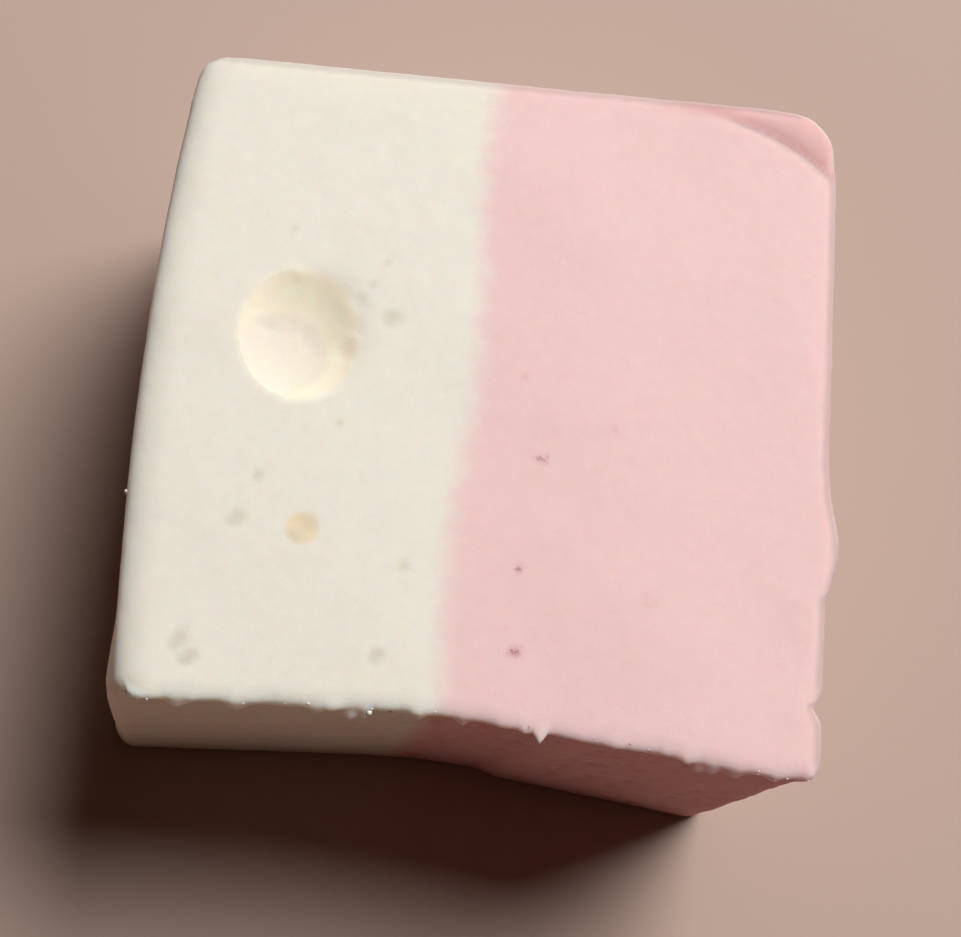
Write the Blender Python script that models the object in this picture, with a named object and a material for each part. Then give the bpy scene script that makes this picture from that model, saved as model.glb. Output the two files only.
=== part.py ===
"""A square marshmallow cut from a slab of two colours, one side white and the other pink.

The script works in metres with +Z up. The origin is at the middle of the underside. The white
half is on the -X side and the pink half on the +X side. The front, at -Y, is the knife's cut,
and the other three sides are soft. Run it with blender --background --python part.py.
"""

import math

import bmesh
import bpy
from mathutils import Vector, noise

MM = 0.001

# The plain block that everything is bent from
HALF_WIDTH = 20.0 * MM
HALF_DEPTH = 20.0 * MM
HEIGHT = 25.1 * MM

# The join of the two colours, seen from above
JOIN_X = -1.95 * MM
JOIN_WAVE = 0.35 * MM
JOIN_WAVE_LENGTH = 26.0 * MM
JOIN_CREST_Y = 2.0 * MM
GAP = 0.3 * MM

# How round each edge is
TOP_LEFT_RADIUS = 1.6 * MM
TOP_RIGHT_RADIUS = 1.0 * MM
TOP_BACK_RADIUS = 1.0 * MM
CUT_EDGE_RADIUS = 0.4 * MM
UNDER_RADIUS = 0.8 * MM
CORNER_BACK_LEFT = 1.2 * MM
CORNER_FRONT_LEFT = 1.1 * MM
CORNER_BACK_RIGHT = 4.6 * MM
CORNER_FRONT_RIGHT = 1.4 * MM

# How each side bows out of the plain block, and how far the cut is hollow
LEFT_BOW = 1.25 * MM
LEFT_BOW_PEAK = 1.07 * MM
LEFT_BOW_PEAK_Y = 3.5 * MM
LEFT_BOW_SPAN = 22.0 * MM
LEFT_SWELL = 0.35 * MM
LEFT_FLARE = 0.55 * MM
LEFT_FLARE_FROM_Y = -13.5 * MM
LEFT_FLARE_LENGTH = 6.0 * MM
LEFT_FLARE_DOWN = 4.0 * MM
RIGHT_STANDS_OUT = 0.42 * MM
RIGHT_FOOT = 0.2 * MM
RIGHT_BULGE = 0.75 * MM
RIGHT_BULGE_Y = -6.6 * MM
RIGHT_BULGE_REACH = 2.6 * MM
RIGHT_STEP_Y = -9.4 * MM
RIGHT_STEP_WIDTH = 1.0 * MM
BACK_MIDDLE = 0.7 * MM
BACK_SLOPE = 0.078
CUT_TOP_HOLLOW = 0.28 * MM
CUT_TOP_MIDDLE_X = -2.2 * MM
CUT_TOP_SLOPES = (0.066, 0.073)
CUT_UNDER_HOLLOW = 1.15 * MM
CUT_UNDER_MIDDLE_X = 0.0 * MM
CUT_UNDER_SLOPES = (0.084, 0.098)
CUT_UNDER_STEP = 0.35 * MM
CUT_UNDER_STEP_X = 4.5 * MM
CUT_UNDER_STEP_WIDTH = 2.0 * MM
CUT_BEND = 3.0 * MM
OVERHANG_BELOW_TOP = 2.5 * MM
OVERHANG_RISE = 2.0 * MM
UNEVEN = 0.14 * MM
UNEVEN_LENGTH = 9.0 * MM

# The fold that cuts across the back right corner, part of a circle seen from above. Its near wall
# is upright, and its far side rises slowly to the edge
FOLD_CENTRE = Vector((11.0 * MM, 6.4 * MM, 0.0))
FOLD_RADIUS = 14.0 * MM
FOLD_DEPTH = 0.5 * MM
FOLD_FAR = 2.4 * MM
FOLD_ABOVE = 0.2 * MM
FOLD_FROM = math.radians(46.0)
FOLD_TO = math.radians(90.0)
FOLD_FADE_RIGHT = math.radians(10.0)
FOLD_FADE_LEFT = math.radians(24.0)
FOLD_SLICES = 16

# The air bubbles that the knife opened: centre, half sizes. Only the lowest part of each is left,
# so the centres lie above the top
BUBBLE_CENTRE = Vector((-12.1 * MM, 1.6 * MM, HEIGHT + 4.7 * MM))
BUBBLE_HALF_SIZE = Vector((6.0 * MM, 6.7 * MM, 6.0 * MM))
DENT_CENTRE = Vector((-9.5 * MM, 0.75 * MM, HEIGHT + 1.15 * MM))
DENT_RADIUS = 1.8 * MM
SMALL_BUBBLES = (
    (Vector((-10.7 * MM, -10.15 * MM, HEIGHT + 0.9 * MM)), 1.35 * MM),
    (Vector((-16.3 * MM, -17.7 * MM, HEIGHT + 1.0 * MM)), 1.25 * MM),
    (Vector((-6.83 * MM, 3.3 * MM, HEIGHT + 0.8 * MM)), 1.05 * MM),
)

# The torn edge along the top of the cut. A scrap is its place along X, how far it stands out,
# how wide it is and how much further it hangs
EDGE_LEFT_END = -18.9 * MM
EDGE_RIGHT_END = 19.3 * MM
EDGE_STEP = 0.55 * MM
EDGE_ROOT = 0.9 * MM
EDGE_BELOW_TOP = 0.16 * MM
EDGE_SLOPE = 0.2 * MM
EDGE_THICKNESS = 0.6 * MM
EDGE_REACH = 0.25 * MM
EDGE_HANG = 0.55 * MM
EDGE_TUCK = 0.6
EDGE_RAG_LENGTH = 1.3 * MM
TORN_SCRAPS = (
    (-16.2 * MM, 0.40 * MM, 1.2 * MM, 0.7 * MM),
    (-13.0 * MM, 0.30 * MM, 1.0 * MM, 0.5 * MM),
    (-6.6 * MM, 0.65 * MM, 1.1 * MM, 0.8 * MM),
    (-0.5 * MM, 0.20 * MM, 1.0 * MM, 0.3 * MM),
    (4.0 * MM, 1.00 * MM, 0.9 * MM, 0.3 * MM),
    (13.4 * MM, 0.65 * MM, 1.3 * MM, 1.2 * MM),
    (15.1 * MM, 0.30 * MM, 0.9 * MM, 0.6 * MM),
)

# The size of the flat facets
CELL = 2.0 * MM
SOFT_ROW = 0.586  # the row that splits a rounded edge into equal turns


def clear_scene():
    for thing in list(bpy.data.objects):
        bpy.data.objects.remove(thing, do_unlink=True)


def marshmallow_material(name, colour):
    """A matt, dusted sugar foam."""
    material = bpy.data.materials.new(name)
    material.use_nodes = True
    shader = material.node_tree.nodes["Principled BSDF"]
    shader.inputs["Base Color"].default_value = colour
    shader.inputs["Roughness"].default_value = 0.9
    shader.inputs["Metallic"].default_value = 0.0
    return material


def clamp(value, low, high):
    return max(low, min(high, value))


def ease(share):
    """Goes from 0 to 1 with a flat start and end."""
    share = clamp(share, 0.0, 1.0)
    return share * share * (3.0 - 2.0 * share)


def join_at(y):
    """Where the two colours meet."""
    turn = 2.0 * math.pi * (y - JOIN_CREST_Y) / JOIN_WAVE_LENGTH
    return JOIN_X + JOIN_WAVE * math.cos(turn)


def rounded_edge(a, b, edge_a, edge_b, radius):
    """Bends the square corner between two faces into an arc, in the plane of both."""
    out_a = a - (edge_a - radius)
    out_b = b - (edge_b - radius)
    if out_a <= 0.0 or out_b <= 0.0:
        return a, b
    shrink = max(out_a, out_b) / math.hypot(out_a, out_b)
    return edge_a - radius + out_a * shrink, edge_b - radius + out_b * shrink


def with_round_edges(point):
    """Rounds the block's upright edges, then its upper and lower ones."""
    x, y, z = point
    x_sign = 1.0 if x > 0.0 else -1.0
    y_sign = 1.0 if y > 0.0 else -1.0
    width, depth = abs(x), abs(y)
    if y > 0.0:
        corner = CORNER_BACK_RIGHT if x > 0.0 else CORNER_BACK_LEFT
    else:
        corner = CORNER_FRONT_RIGHT if x > 0.0 else CORNER_FRONT_LEFT
    width, depth = rounded_edge(width, depth, HALF_WIDTH, HALF_DEPTH, corner)
    side_radius = TOP_RIGHT_RADIUS if x > 0.0 else TOP_LEFT_RADIUS
    end_radius = TOP_BACK_RADIUS if y > 0.0 else CUT_EDGE_RADIUS
    if z > HEIGHT / 2:
        width, z = rounded_edge(width, z, HALF_WIDTH, HEIGHT, side_radius)
        depth, z = rounded_edge(depth, z, HALF_DEPTH, HEIGHT, end_radius)
    else:
        under_end = UNDER_RADIUS if y > 0.0 else CUT_EDGE_RADIUS
        width, down = rounded_edge(width, HEIGHT - z, HALF_WIDTH, HEIGHT, UNDER_RADIUS)
        depth, down = rounded_edge(depth, down, HALF_DEPTH, HEIGHT, under_end)
        z = HEIGHT - down
    return x_sign * width, y_sign * depth, z


def left_side(y, z):
    """Bowed out of the plain block, fuller below the top, and flared where the cut meets it."""
    bow = LEFT_BOW_PEAK - LEFT_BOW * ((y - LEFT_BOW_PEAK_Y) / LEFT_BOW_SPAN) ** 2
    below_top = ease(2.0 * (1.0 - z / HEIGHT))
    flare = ease((LEFT_FLARE_FROM_Y - y) / LEFT_FLARE_LENGTH)
    flare *= ease((HEIGHT - z) / LEFT_FLARE_DOWN)
    return bow + LEFT_SWELL * below_top + LEFT_FLARE * flare


def right_side(y, z):
    """A foot that stands out, and a bulge near the top that ends in a step towards the front."""
    away = (y - RIGHT_BULGE_Y) / RIGHT_BULGE_REACH
    bulge = RIGHT_BULGE * math.exp(-away * away) * ease(z / HEIGHT)
    step = ease((y - RIGHT_STEP_Y) / RIGHT_STEP_WIDTH + 0.5)
    return RIGHT_STANDS_OUT + RIGHT_FOOT * (1.0 - z / HEIGHT) + bulge * step


def back_side(x):
    """The back side slants, so that the pink half is the longer one."""
    return BACK_MIDDLE + BACK_SLOPE * x


def hollow_line(x, depth, middle_x, slopes):
    """Two straight stretches that meet in a bend: in by the depth there, and out at the ends."""
    away = math.hypot(x - middle_x, CUT_BEND) - CUT_BEND
    return depth - slopes[x > middle_x] * away


def front_side(x, z):
    """The cut is hollow, and more so at the bottom. Negative is out of the block."""
    top = hollow_line(x, CUT_TOP_HOLLOW, CUT_TOP_MIDDLE_X, CUT_TOP_SLOPES)
    under = hollow_line(x, CUT_UNDER_HOLLOW, CUT_UNDER_MIDDLE_X, CUT_UNDER_SLOPES)
    under -= CUT_UNDER_STEP * ease((x - CUT_UNDER_STEP_X) / CUT_UNDER_STEP_WIDTH + 0.5)
    overhang = ease((z - HEIGHT + OVERHANG_BELOW_TOP) / OVERHANG_RISE)
    return under + (top - under) * overhang


def shaped(point):
    """Takes a point of the plain block to its place on the marshmallow."""
    x, y, z = with_round_edges(point)
    left_share = clamp((JOIN_X - x) / (HALF_WIDTH + JOIN_X), 0.0, 1.0)
    right_share = clamp((x - JOIN_X) / (HALF_WIDTH - JOIN_X), 0.0, 1.0)
    join_share = 1.0 - left_share - right_share
    back_share = clamp(y / HALF_DEPTH, 0.0, 1.0)
    front_share = clamp(-y / HALF_DEPTH, 0.0, 1.0)
    moved_x = x - left_side(y, z) * left_share + right_side(y, z) * right_share
    moved_x += (join_at(y) - JOIN_X) * join_share
    moved_y = y + back_side(x) * back_share + front_side(x, z) * front_share
    rise = z / HEIGHT
    wave = noise.noise(Vector((x, y, 0.0)) / UNEVEN_LENGTH)
    return Vector((moved_x, moved_y, z + UNEVEN * wave * rise ** 3))


def rows_between(low, high, low_radius, high_radius, extra=()):
    """Where one direction of the block is cut: two rows at each soft edge, the rest even."""
    rows = list(extra)
    if low_radius:
        rows += [low + SOFT_ROW * low_radius, low + low_radius]
    if high_radius:
        rows += [high - SOFT_ROW * high_radius, high - high_radius]
    start, end = low + low_radius, high - high_radius
    cells = max(1, round((end - start) / CELL))
    rows += [start + (end - start) * i / cells for i in range(1, cells)]
    return sorted(rows)


def cut_block(x_low, x_high, soft_left, soft_right):
    """A plain block, cut into a grid of small cells along its three directions."""
    block = bmesh.new()
    bmesh.ops.create_cube(block, size=1.0)
    size = Vector((x_high - x_low, 2.0 * HALF_DEPTH, HEIGHT))
    middle = Vector(((x_low + x_high) / 2, 0.0, HEIGHT / 2))
    bmesh.ops.scale(block, vec=size, verts=block.verts)
    bmesh.ops.translate(block, vec=middle, verts=block.verts)
    step_rows = (RIGHT_STEP_Y - RIGHT_STEP_WIDTH / 2, RIGHT_STEP_Y + RIGHT_STEP_WIDTH / 2)
    rows = (
        rows_between(x_low, x_high, soft_left, soft_right),
        rows_between(-HALF_DEPTH, HALF_DEPTH, CORNER_FRONT_LEFT, TOP_BACK_RADIUS, step_rows),
        rows_between(0.0, HEIGHT, UNDER_RADIUS, TOP_LEFT_RADIUS),
    )
    for axis, places in enumerate(rows):
        across = Vector([float(i == axis) for i in range(3)])
        for place in places:
            everything = block.verts[:] + block.edges[:] + block.faces[:]
            bmesh.ops.bisect_plane(
                block, geom=everything, plane_co=across * place, plane_no=across
            )
    return block


def add_object(name, mesh_data, material=None):
    """Puts a bmesh into the scene as an object of its own."""
    bmesh.ops.recalc_face_normals(mesh_data, faces=mesh_data.faces)
    mesh = bpy.data.meshes.new(name)
    mesh_data.to_mesh(mesh)
    mesh_data.free()
    if material:
        mesh.materials.append(material)
    thing = bpy.data.objects.new(name, mesh)
    bpy.context.scene.collection.objects.link(thing)
    return thing


def helper_group(name):
    """A collection for the shapes that are joined to a half or cut out of it."""
    group = bpy.data.collections.new(name)
    bpy.context.scene.collection.children.link(group)
    return group


def put_in(group, helper):
    """Hides a helper from the render and keeps it in its own collection."""
    bpy.context.scene.collection.objects.unlink(helper)
    group.objects.link(helper)
    helper.hide_render = True
    helper.display_type = "WIRE"


def ball(name, centre, half_size, round_steps, group):
    """A round or stretched ball."""
    shape = bmesh.new()
    bmesh.ops.create_uvsphere(
        shape, u_segments=2 * round_steps, v_segments=round_steps, radius=1.0
    )
    bmesh.ops.scale(shape, vec=half_size, verts=shape.verts)
    bmesh.ops.translate(shape, vec=centre, verts=shape.verts)
    put_in(group, add_object(name, shape))


def strip_through(name, sections, group):
    """A closed strip that runs through four-cornered sections, one after another."""
    strip = bmesh.new()
    before = None
    for section in sections:
        corners = [strip.verts.new(place) for place in section]
        if before is None:
            strip.faces.new(corners)
        else:
            for i in range(4):
                j = (i + 1) % 4
                strip.faces.new((before[i], before[j], corners[j], corners[i]))
        before = corners
    strip.faces.new(before)
    put_in(group, add_object(name, strip))


def fold_section(angle):
    """What the fold takes away in an upright slice: the bottom of the near wall comes first."""
    toward = Vector((math.cos(angle), math.sin(angle), 0.0))
    near = FOLD_CENTRE + toward * FOLD_RADIUS
    far = near + toward * FOLD_FAR
    right = ease((angle - FOLD_FROM) / FOLD_FADE_RIGHT)
    left = ease((FOLD_TO - angle) / FOLD_FADE_LEFT)
    up = Vector((0.0, 0.0, 1.0))
    bottom = HEIGHT + FOLD_ABOVE - (FOLD_DEPTH + FOLD_ABOVE) * right * left
    return (
        near + up * bottom,
        near + up * (HEIGHT + FOLD_DEPTH),
        far + up * (HEIGHT + FOLD_DEPTH),
        far + up * (HEIGHT + FOLD_ABOVE),
    )


def fold_cutter(group):
    """A wedge that presses the fold into the top and runs out of it at both ends."""
    angles = [FOLD_FROM + (FOLD_TO - FOLD_FROM) * i / FOLD_SLICES for i in range(FOLD_SLICES + 1)]
    strip_through("fold_cutter", [fold_section(angle) for angle in angles], group)


def scrap_at(x, size):
    """What the torn scraps add at a place along the edge: size 1 is reach, size 3 is hang."""
    total = 0.0
    for scrap in TORN_SCRAPS:
        away = (x - scrap[0]) / scrap[2]
        total += scrap[size] * math.exp(-4.0 * away * away)
    return total


def edge_section(x):
    """The torn edge's four corners in an upright slice of the marshmallow, root first."""
    ragged = 0.5 + 0.5 * noise.noise(Vector((x / EDGE_RAG_LENGTH, 0.0, 0.0)))
    drooping = 0.5 + 0.5 * noise.noise(Vector((x / EDGE_RAG_LENGTH, 5.0, 0.0)))
    reach = EDGE_REACH * ragged + scrap_at(x, 1)
    hang = EDGE_HANG * drooping + scrap_at(x, 3)
    face = -HALF_DEPTH + front_side(x, HEIGHT)
    top = HEIGHT - EDGE_BELOW_TOP
    return (
        Vector((x, face + EDGE_ROOT, top)),
        Vector((x, face - reach, top - EDGE_SLOPE)),
        Vector((x, face - EDGE_TUCK * reach, top - EDGE_SLOPE - hang)),
        Vector((x, face + EDGE_ROOT, top - EDGE_THICKNESS - hang)),
    )


def torn_edge(name, x_low, x_high, group):
    """A thin ragged strip that overhangs the cut."""
    slices = round((x_high - x_low) / EDGE_STEP)
    places = [x_low + (x_high - x_low) * i / slices for i in range(slices + 1)]
    strip_through(name, [edge_section(x) for x in places], group)


def boolean(thing, name, operation, group):
    """A live join or cut with every shape of a collection."""
    modifier = thing.modifiers.new(name, "BOOLEAN")
    modifier.operation = operation
    modifier.operand_type = "COLLECTION"
    modifier.collection = group
    modifier.solver = "EXACT"


def make_half(name, x_low, x_high, soft_left, soft_right, colour):
    half = cut_block(x_low, x_high, soft_left, soft_right)
    for corner in half.verts:
        corner.co = shaped(corner.co)
    return add_object(name, half, marshmallow_material(name, colour))


def main():
    clear_scene()
    white_edge = helper_group("white_edge")
    pink_edge = helper_group("pink_edge")
    bubbles = helper_group("bubbles")
    folds = helper_group("folds")

    white = make_half(
        "white_half",
        -HALF_WIDTH,
        JOIN_X - GAP / 2,
        TOP_LEFT_RADIUS,
        0.0,
        (0.80, 0.76, 0.68, 1.0),
    )
    pink = make_half(
        "pink_half",
        JOIN_X + GAP / 2,
        HALF_WIDTH,
        0.0,
        TOP_RIGHT_RADIUS,
        (0.86, 0.60, 0.57, 1.0),
    )

    middle = join_at(-HALF_DEPTH)
    torn_edge("white_torn_edge", EDGE_LEFT_END, middle - GAP, white_edge)
    torn_edge("pink_torn_edge", middle + GAP, EDGE_RIGHT_END, pink_edge)

    ball("big_bubble", BUBBLE_CENTRE, BUBBLE_HALF_SIZE, 12, bubbles)
    dent_size = Vector((DENT_RADIUS, DENT_RADIUS, DENT_RADIUS))
    ball("bubble_dent", DENT_CENTRE, dent_size, 8, bubbles)
    for number, (centre, radius) in enumerate(SMALL_BUBBLES):
        size = Vector((radius, radius, radius))
        ball(f"small_bubble_{number}", centre, size, 6, bubbles)
    fold_cutter(folds)

    boolean(white, "torn edge", "UNION", white_edge)
    boolean(white, "open bubbles", "DIFFERENCE", bubbles)
    boolean(pink, "torn edge", "UNION", pink_edge)
    boolean(pink, "corner fold", "DIFFERENCE", folds)


main()
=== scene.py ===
# %% [markdown]
# # A square marshmallow in two colours
#
# The sweet is a square piece of sugar foam, cut from a slab that was poured in two colours. Its
# left part is off-white and its right part pink, and both run right through it. The front is the
# knife's cut, with a torn edge along its top. The other sides bow a little, and the top has a big
# open air bubble, a few small ones, and a fold across the back right corner.
#
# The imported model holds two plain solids. This lesson puts one finely cut skin over both, since in
# the real sweet the two colours have grown together and no seam runs between them.

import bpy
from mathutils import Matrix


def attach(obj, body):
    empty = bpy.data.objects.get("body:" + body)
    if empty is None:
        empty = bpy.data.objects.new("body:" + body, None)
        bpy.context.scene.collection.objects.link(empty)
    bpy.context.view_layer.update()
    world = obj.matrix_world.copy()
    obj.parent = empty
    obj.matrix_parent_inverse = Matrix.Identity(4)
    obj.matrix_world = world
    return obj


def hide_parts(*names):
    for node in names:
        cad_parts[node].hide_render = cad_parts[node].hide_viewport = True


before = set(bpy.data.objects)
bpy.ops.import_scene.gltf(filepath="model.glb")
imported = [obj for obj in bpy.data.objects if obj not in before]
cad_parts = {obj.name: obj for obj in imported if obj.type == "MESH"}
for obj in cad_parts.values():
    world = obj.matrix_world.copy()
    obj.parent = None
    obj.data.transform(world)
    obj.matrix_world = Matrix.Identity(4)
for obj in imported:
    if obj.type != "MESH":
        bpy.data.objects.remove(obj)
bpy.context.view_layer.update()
print("packed nodes:", sorted(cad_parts))

# %% The other modules
import math
import random

import bmesh
import bpy
from mathutils import Matrix, Vector, noise
from mathutils.bvhtree import BVHTree

# %% [markdown]
# ## The plain block
#
# Every form here starts from a plain block and is bent out of it by small rules, each named for
# what it makes. The block could also be sculpted by hand, but a rule can be read, measured and
# changed. The origin is at the middle of the underside, the white part is at -X and the cut at -Y.

# %% Sizes of the block
MM = 0.001
HALF_SIDE = 20.0 * MM
HEIGHT = 25.1 * MM


def clamp(value, low, high):
    return max(low, min(high, value))


def ease(share):
    """Goes from 0 to 1 with a flat start and a flat end."""
    share = clamp(share, 0.0, 1.0)
    return share * share * (3.0 - 2.0 * share)


def bell(away):
    """1 in the middle and nearly 0 from a distance of 1 on."""
    return math.exp(-4.0 * away * away)


print("block:", 2 * HALF_SIDE / MM, "mm square and", HEIGHT / MM, "mm tall")

# %% [markdown]
# ## Cells that are fine where the eye looks
#
# A marshmallow has hardly any straight line, so the block needs many small cells to bend. A cube
# is cut along one axis after another, and only the edges that run along that axis are cut, which
# keeps every face four-sided. A Subdivision Surface would put as many cells at the back as at the
# torn edge. Here the rows are drawn together toward the top and toward the cut instead. The
# underside is flat, so its cells are joined into one face. The layers on the points are marks that
# the material reads later, one for each finish that only part of the skin has.

# %% Cut a cube into cells
CELLS = (190, 172, 84)
FINE_ROWS = 20
FINE_LENGTH = 3.0 * MM
FLAT_FROM_EDGE = 1.3 * MM
ON_FACE = 0.01 * MM
STEP_X = 2 * HALF_SIDE / CELLS[0]
STEP_Y = (2 * HALF_SIDE - FINE_LENGTH) / (CELLS[1] - FINE_ROWS)


def cut_across(block, axis, cells):
    """Cuts the edges that run along one axis into equal parts, and the faces with them."""
    ends = [(e, e.verts[0].co[axis], e.verts[1].co[axis]) for e in block.edges]
    along = [edge for edge, first, last in ends if abs(first - last) > 1.0]
    bmesh.ops.subdivide_edges(block, edges=along, cuts=cells - 1, use_grid_fill=True)


def crowded(share, rows, length):
    """Where a row lies from its fine end: the first rows share the fine length."""
    row = share * rows
    if row < FINE_ROWS:
        return FINE_LENGTH * row / FINE_ROWS
    return FINE_LENGTH + (length - FINE_LENGTH) * (row - FINE_ROWS) / (rows - FINE_ROWS)


skin = bmesh.new()
bmesh.ops.create_cube(skin, size=2.0)
for axis, cells in enumerate(CELLS):
    cut_across(skin, axis, cells)
hollow_mark = skin.verts.layers.float.new("hollow")
pit_shade_mark = skin.verts.layers.float.new("pit")
cream_and_shade_mark = skin.verts.layers.float.new("cream")
patch_shade_mark = skin.verts.layers.float.new("patch")
crease_shade_mark = skin.verts.layers.float.new("crease")
dye_mark = skin.verts.layers.float.new("dye")
rim_shade_mark = skin.verts.layers.float.new("rim")
cut_shade_mark = skin.verts.layers.float.new("cut")
for corner in skin.verts:
    x, y, z = corner.co
    from_front = crowded((y + 1.0) / 2, CELLS[1], 2 * HALF_SIDE)
    from_top = crowded((1.0 - z) / 2, CELLS[2], HEIGHT)
    corner.co = (x * HALF_SIDE, from_front - HALF_SIDE, HEIGHT - from_top)
top_face = [v for v in skin.verts if v.co.z > HEIGHT - ON_FACE]


def flat_under(face):
    """Whether a face lies underneath, away from the soft edges."""
    inside = HALF_SIDE - FLAT_FROM_EDGE
    return all(
        max(abs(v.co.x), abs(v.co.y)) < inside and v.co.z < ON_FACE for v in face.verts
    )


bmesh.ops.dissolve_faces(skin, faces=[f for f in skin.faces if flat_under(f)])
print("faces in the block:", len(skin.faces), "with", len(top_face), "points on top")

# %% [markdown]
# ## Soft edges
#
# Starch keeps the slab's own edges soft, while the knife leaves a sharper one. Bevel would round
# the block too, but it would cut new faces into the even grid. Bending the corner's points into an
# arc keeps the grid, and each edge gets its own size. Along the left and along the cut the top
# sags toward the edge, so the arc there is a flat ellipse, wider than it is tall.

# %% Round the edges
# How far each arc reaches along the flat face, and how far up or down
TOP_LEFT_ARC = (2.1 * MM, 1.0 * MM)
TOP_RIGHT_ARC = (1.0 * MM, 1.0 * MM)
TOP_BACK_ARC = (1.0 * MM, 1.0 * MM)
CUT_EDGE_ARC = (1.2 * MM, 0.35 * MM)
CUT_FOOT_ARC = (0.35 * MM, 0.35 * MM)
UNDER_ARC = (0.8 * MM, 0.8 * MM)
# The upright edges
CORNER_BACK_LEFT = 1.2 * MM
CORNER_FRONT_LEFT = 1.1 * MM
CORNER_BACK_RIGHT = 4.6 * MM
CORNER_FRONT_RIGHT = 1.4 * MM


def rounded_edge(a, b, edge_a, edge_b, size_a, size_b):
    """Bends the square corner between two faces into a quarter of an ellipse."""
    out_a = (a - edge_a) / size_a + 1.0
    out_b = (b - edge_b) / size_b + 1.0
    if out_a <= 0.0 or out_b <= 0.0:
        return a, b
    shrink = max(out_a, out_b) / math.hypot(out_a, out_b)
    new_a = edge_a - size_a + out_a * shrink * size_a
    new_b = edge_b - size_b + out_b * shrink * size_b
    return new_a, new_b


def with_round_edges(point):
    """Rounds the upright edges, then the upper and lower ones."""
    x, y, z = point
    x_sign = 1.0 if x > 0.0 else -1.0
    y_sign = 1.0 if y > 0.0 else -1.0
    if y > 0.0:
        corner = CORNER_BACK_RIGHT if x > 0.0 else CORNER_BACK_LEFT
    else:
        corner = CORNER_FRONT_RIGHT if x > 0.0 else CORNER_FRONT_LEFT
    width, depth = rounded_edge(abs(x), abs(y), HALF_SIDE, HALF_SIDE, corner, corner)
    if z > HEIGHT / 2:
        side = TOP_RIGHT_ARC if x > 0.0 else TOP_LEFT_ARC
        end = TOP_BACK_ARC if y > 0.0 else CUT_EDGE_ARC
        width, z = rounded_edge(width, z, HALF_SIDE, HEIGHT, *side)
        depth, z = rounded_edge(depth, z, HALF_SIDE, HEIGHT, *end)
    else:
        end = UNDER_ARC if y > 0.0 else CUT_FOOT_ARC
        width, down = rounded_edge(width, HEIGHT - z, HALF_SIDE, HEIGHT, *UNDER_ARC)
        depth, down = rounded_edge(depth, down, HALF_SIDE, HEIGHT, *end)
        z = HEIGHT - down
    return x_sign * width, y_sign * depth, z


moved = with_round_edges((HALF_SIDE, HALF_SIDE, HEIGHT))
print("the back right corner moves to", [round(v / MM, 2) for v in moved], "mm")

# %% [markdown]
# ## Sides that bow
#
# The left side bows out, the back slants, and the right side bulges near the front and then steps
# in, where a bit of foam pulled away. Each side is a small function that says how far it stands
# out of the plain block, and the points between two sides share the two moves. The join of the
# two colours, where the moves to the left and to the right part, is set here too.

# %% How far each side stands out
JOIN_X = -1.95 * MM
JOIN_WAVE = 0.35 * MM
JOIN_WAVE_LENGTH = 26.0 * MM
JOIN_CREST_Y = 2.0 * MM
LEFT_BOW = 1.25 * MM
LEFT_BOW_PEAK = 1.07 * MM
LEFT_BOW_PEAK_Y = 3.5 * MM
LEFT_BOW_SPAN = 22.0 * MM
LEFT_SWELL = 0.35 * MM
LEFT_FLARE = 0.55 * MM
LEFT_FLARE_FROM_Y = -13.5 * MM
LEFT_FLARE_LENGTH = 6.0 * MM
LEFT_FLARE_DOWN = 4.0 * MM
RIGHT_STANDS_OUT = 0.42 * MM
RIGHT_FOOT = 0.2 * MM
RIGHT_BULGE = 0.75 * MM
RIGHT_BULGE_Y = -6.6 * MM
RIGHT_BULGE_REACH = 2.6 * MM
RIGHT_STEP_Y = -9.4 * MM
RIGHT_STEP_WIDTH = 1.0 * MM
RIGHT_NOTCH = 0.5 * MM
RIGHT_NOTCH_Y = -15.8 * MM
RIGHT_NOTCH_REACH = 1.1 * MM
BACK_MIDDLE = 0.7 * MM
BACK_SLOPE = 0.078


def left_side(y, z):
    """Bowed, fuller below the top, and flared where the cut meets it."""
    bow = LEFT_BOW_PEAK - LEFT_BOW * ((y - LEFT_BOW_PEAK_Y) / LEFT_BOW_SPAN) ** 2
    below_top = ease(2.0 * (1.0 - z / HEIGHT))
    flare = ease((LEFT_FLARE_FROM_Y - y) / LEFT_FLARE_LENGTH)
    flare *= ease((HEIGHT - z) / LEFT_FLARE_DOWN)
    return bow + LEFT_SWELL * below_top + LEFT_FLARE * flare


def right_side(y, z):
    """A bulge that ends in a step toward the front, and a small notch, both near the top."""
    away = (y - RIGHT_BULGE_Y) / RIGHT_BULGE_REACH
    bulge = RIGHT_BULGE * math.exp(-away * away) * ease(z / HEIGHT)
    step = ease((y - RIGHT_STEP_Y) / RIGHT_STEP_WIDTH + 0.5)
    notch = RIGHT_NOTCH * bell((y - RIGHT_NOTCH_Y) / RIGHT_NOTCH_REACH) * ease(z / HEIGHT) ** 3
    return RIGHT_STANDS_OUT + RIGHT_FOOT * (1.0 - z / HEIGHT) + bulge * step - notch


def back_side(x):
    return BACK_MIDDLE + BACK_SLOPE * x


print("left side stands out", round(left_side(0.0, 0.0) / MM, 2), "mm at its foot")

# %% [markdown]
# ## The knife's cut
#
# A blade drags the foam with it, so the cut is hollow, and more hollow at the bottom than at the
# top, where the edge hangs over. Two straight stretches that meet in a soft bend are enough for
# each level, and an eased step between the levels makes the overhang.

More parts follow.
